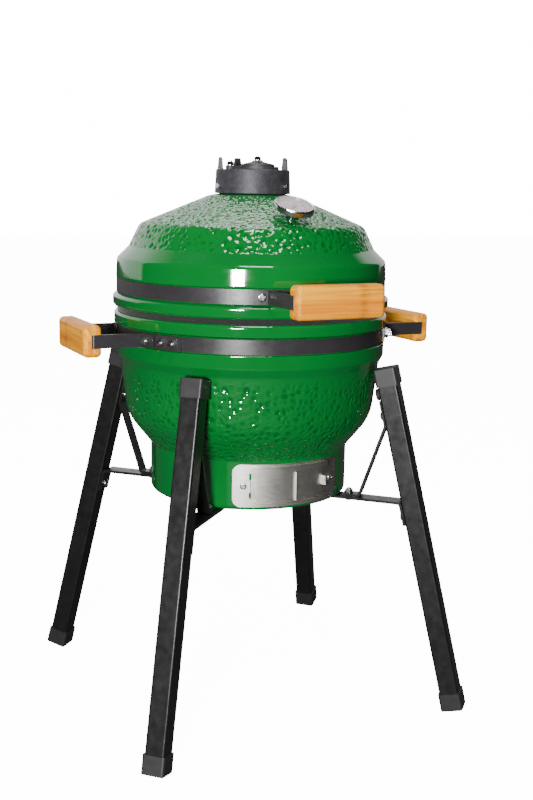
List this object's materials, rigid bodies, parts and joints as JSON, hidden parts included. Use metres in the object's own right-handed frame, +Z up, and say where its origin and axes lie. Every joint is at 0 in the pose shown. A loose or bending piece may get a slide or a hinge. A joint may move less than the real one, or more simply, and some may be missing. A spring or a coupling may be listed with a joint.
{
  "type": "kamado charcoal grill",
  "caption": "Green ceramic kamado charcoal grill with a hinged domed lid, bamboo handles, top vent and sliding draft door, resting in a black steel stand on splayed square legs.",
  "frame": {"origin": "on the ground, under the middle of the outline of the whole grill with its handles; the axis of the ceramic body and the middle of the four feet are 9.2 mm behind it, at y = 0.0092", "axes": "+Z up; the front, with the draft door and the lid handle, faces -Y; +X is to the right of a cook who stands in front and looks at the grill"},
  "size_m": [0.535, 0.5166, 0.7815],
  "materials": {
    "green_glaze": "glossy glaze over a dimpled texture",
    "black_band_steel": "satin black paint",
    "black_leg_paint": "semi-gloss black powder coat",
    "black_cap_plastic": "fine matt",
    "black_rubber": "matt",
    "bamboo": "satin lacquer",
    "cast_iron": "fine sand-cast, black",
    "black_felt": "woven felt",
    "bright_zinc": "bright plated",
    "chrome": "polished",
    "stainless": "brushed",
    "dial_paint": "printed dial",
    "needle_paint": "painted",
    "clear_glass": "clear",
    "fire_clay": "unglazed"
  },
  "bodies": {
    "base": {"band_clamp_nuts": "bright_zinc", "band_clamp_plates": "black_band_steel", "base_band": "black_band_steel", "base_gasket": "black_felt", "brace_foot_bolts": "bright_zinc", "brace_foot_nuts": "bright_zinc", "brace_top_bolts": "bright_zinc", "bumper_pads": "black_rubber", "ceramic_base": "green_glaze", "charcoal_grate": "cast_iron", "cooking_grid": "chrome", "crossbar_bolts": "bright_zinc", "crossbar_lower": "black_leg_paint", "crossbar_upper": "black_leg_paint", "diagonal_braces": "black_leg_paint", "draft_door_frame": "stainless", "draft_door_screws": "bright_zinc", "fire_bowl": "fire_clay", "fire_bowl_base": "fire_clay", "fire_ring": "fire_clay", "foot_caps": "black_cap_plastic", "hinge_bolt": "bright_zinc", "hinge_springs": "bright_zinc", "left_handle_bracket": "black_band_steel", "left_handle_grip": "bamboo", "leg_back_left": "black_leg_paint", "leg_back_right": "black_leg_paint", "leg_front_left": "black_leg_paint", "leg_front_right": "black_leg_paint", "leg_top_caps": "black_cap_plastic", "lower_hinge_bolts": "bright_zinc", "lower_hinge_bracket": "black_band_steel", "right_handle_bracket": "black_band_steel", "right_handle_grip": "bamboo", "side_handle_nuts": "bright_zinc"},
    "lid": {"ceramic_lid": "green_glaze", "lid_gasket": "black_felt", "lid_band": "black_band_steel", "lid_handle_bracket": "black_band_steel", "lid_handle_grip": "bamboo", "lid_handle_bolts": "bright_zinc", "upper_hinge_bracket": "black_band_steel", "upper_hinge_bolts": "bright_zinc", "vent_collar": "cast_iron", "collar_seal": "black_felt", "collar_screws": "bright_zinc", "vent_pivot_bolt": "bright_zinc", "thermometer_case": "chrome", "thermometer_dial": "dial_paint", "thermometer_lens": "clear_glass", "thermometer_stem": "stainless", "thermometer_nut": "bright_zinc"},
    "vent_slide": {"vent_slide": "cast_iron", "daisy_bolt": "bright_zinc"},
    "daisy_wheel": {"daisy_wheel": "cast_iron"},
    "needle": {"thermometer_needle": "needle_paint"},
    "draft_outer": {"draft_panel_outer": "stainless"},
    "draft_inner": {"draft_panel_inner": "stainless"}
  },
  "joints": [
    {"name": "lid_hinge", "type": "hinge", "parent": "base", "child": "lid", "pos_m": [0, 0.2312, 0.568], "axis": [-1, 0, 0], "range_deg": [0, 75]},
    {"name": "vent_slide_pivot", "type": "hinge", "parent": "lid", "child": "vent_slide", "pos_m": [-0.0396, -0.00141, 0.765], "axis": [0, 0, 1], "range_deg": [0, 15]},
    {"name": "daisy_wheel_turn", "type": "hinge", "parent": "vent_slide", "child": "daisy_wheel", "pos_m": [0.006, 0.0062, 0.77], "axis": [0, 0, 1], "range_deg": [0, 90]},
    {"name": "needle_turn", "type": "hinge", "parent": "lid", "child": "needle", "pos_m": [0, -0.12185, 0.71422], "axis": [0, 0.4035, -0.915], "range_deg": [0, 270]},
    {"name": "draft_outer_slide", "type": "hinge", "parent": "base", "child": "draft_outer", "pos_m": [0, 0.0092, 0.339], "axis": [0, 0, 1], "range_deg": [0, 17]},
    {"name": "draft_inner_slide", "type": "hinge", "parent": "base", "child": "draft_inner", "pos_m": [0, 0.0092, 0.339], "axis": [0, 0, 1], "range_deg": [-17, 0]}
  ]
}
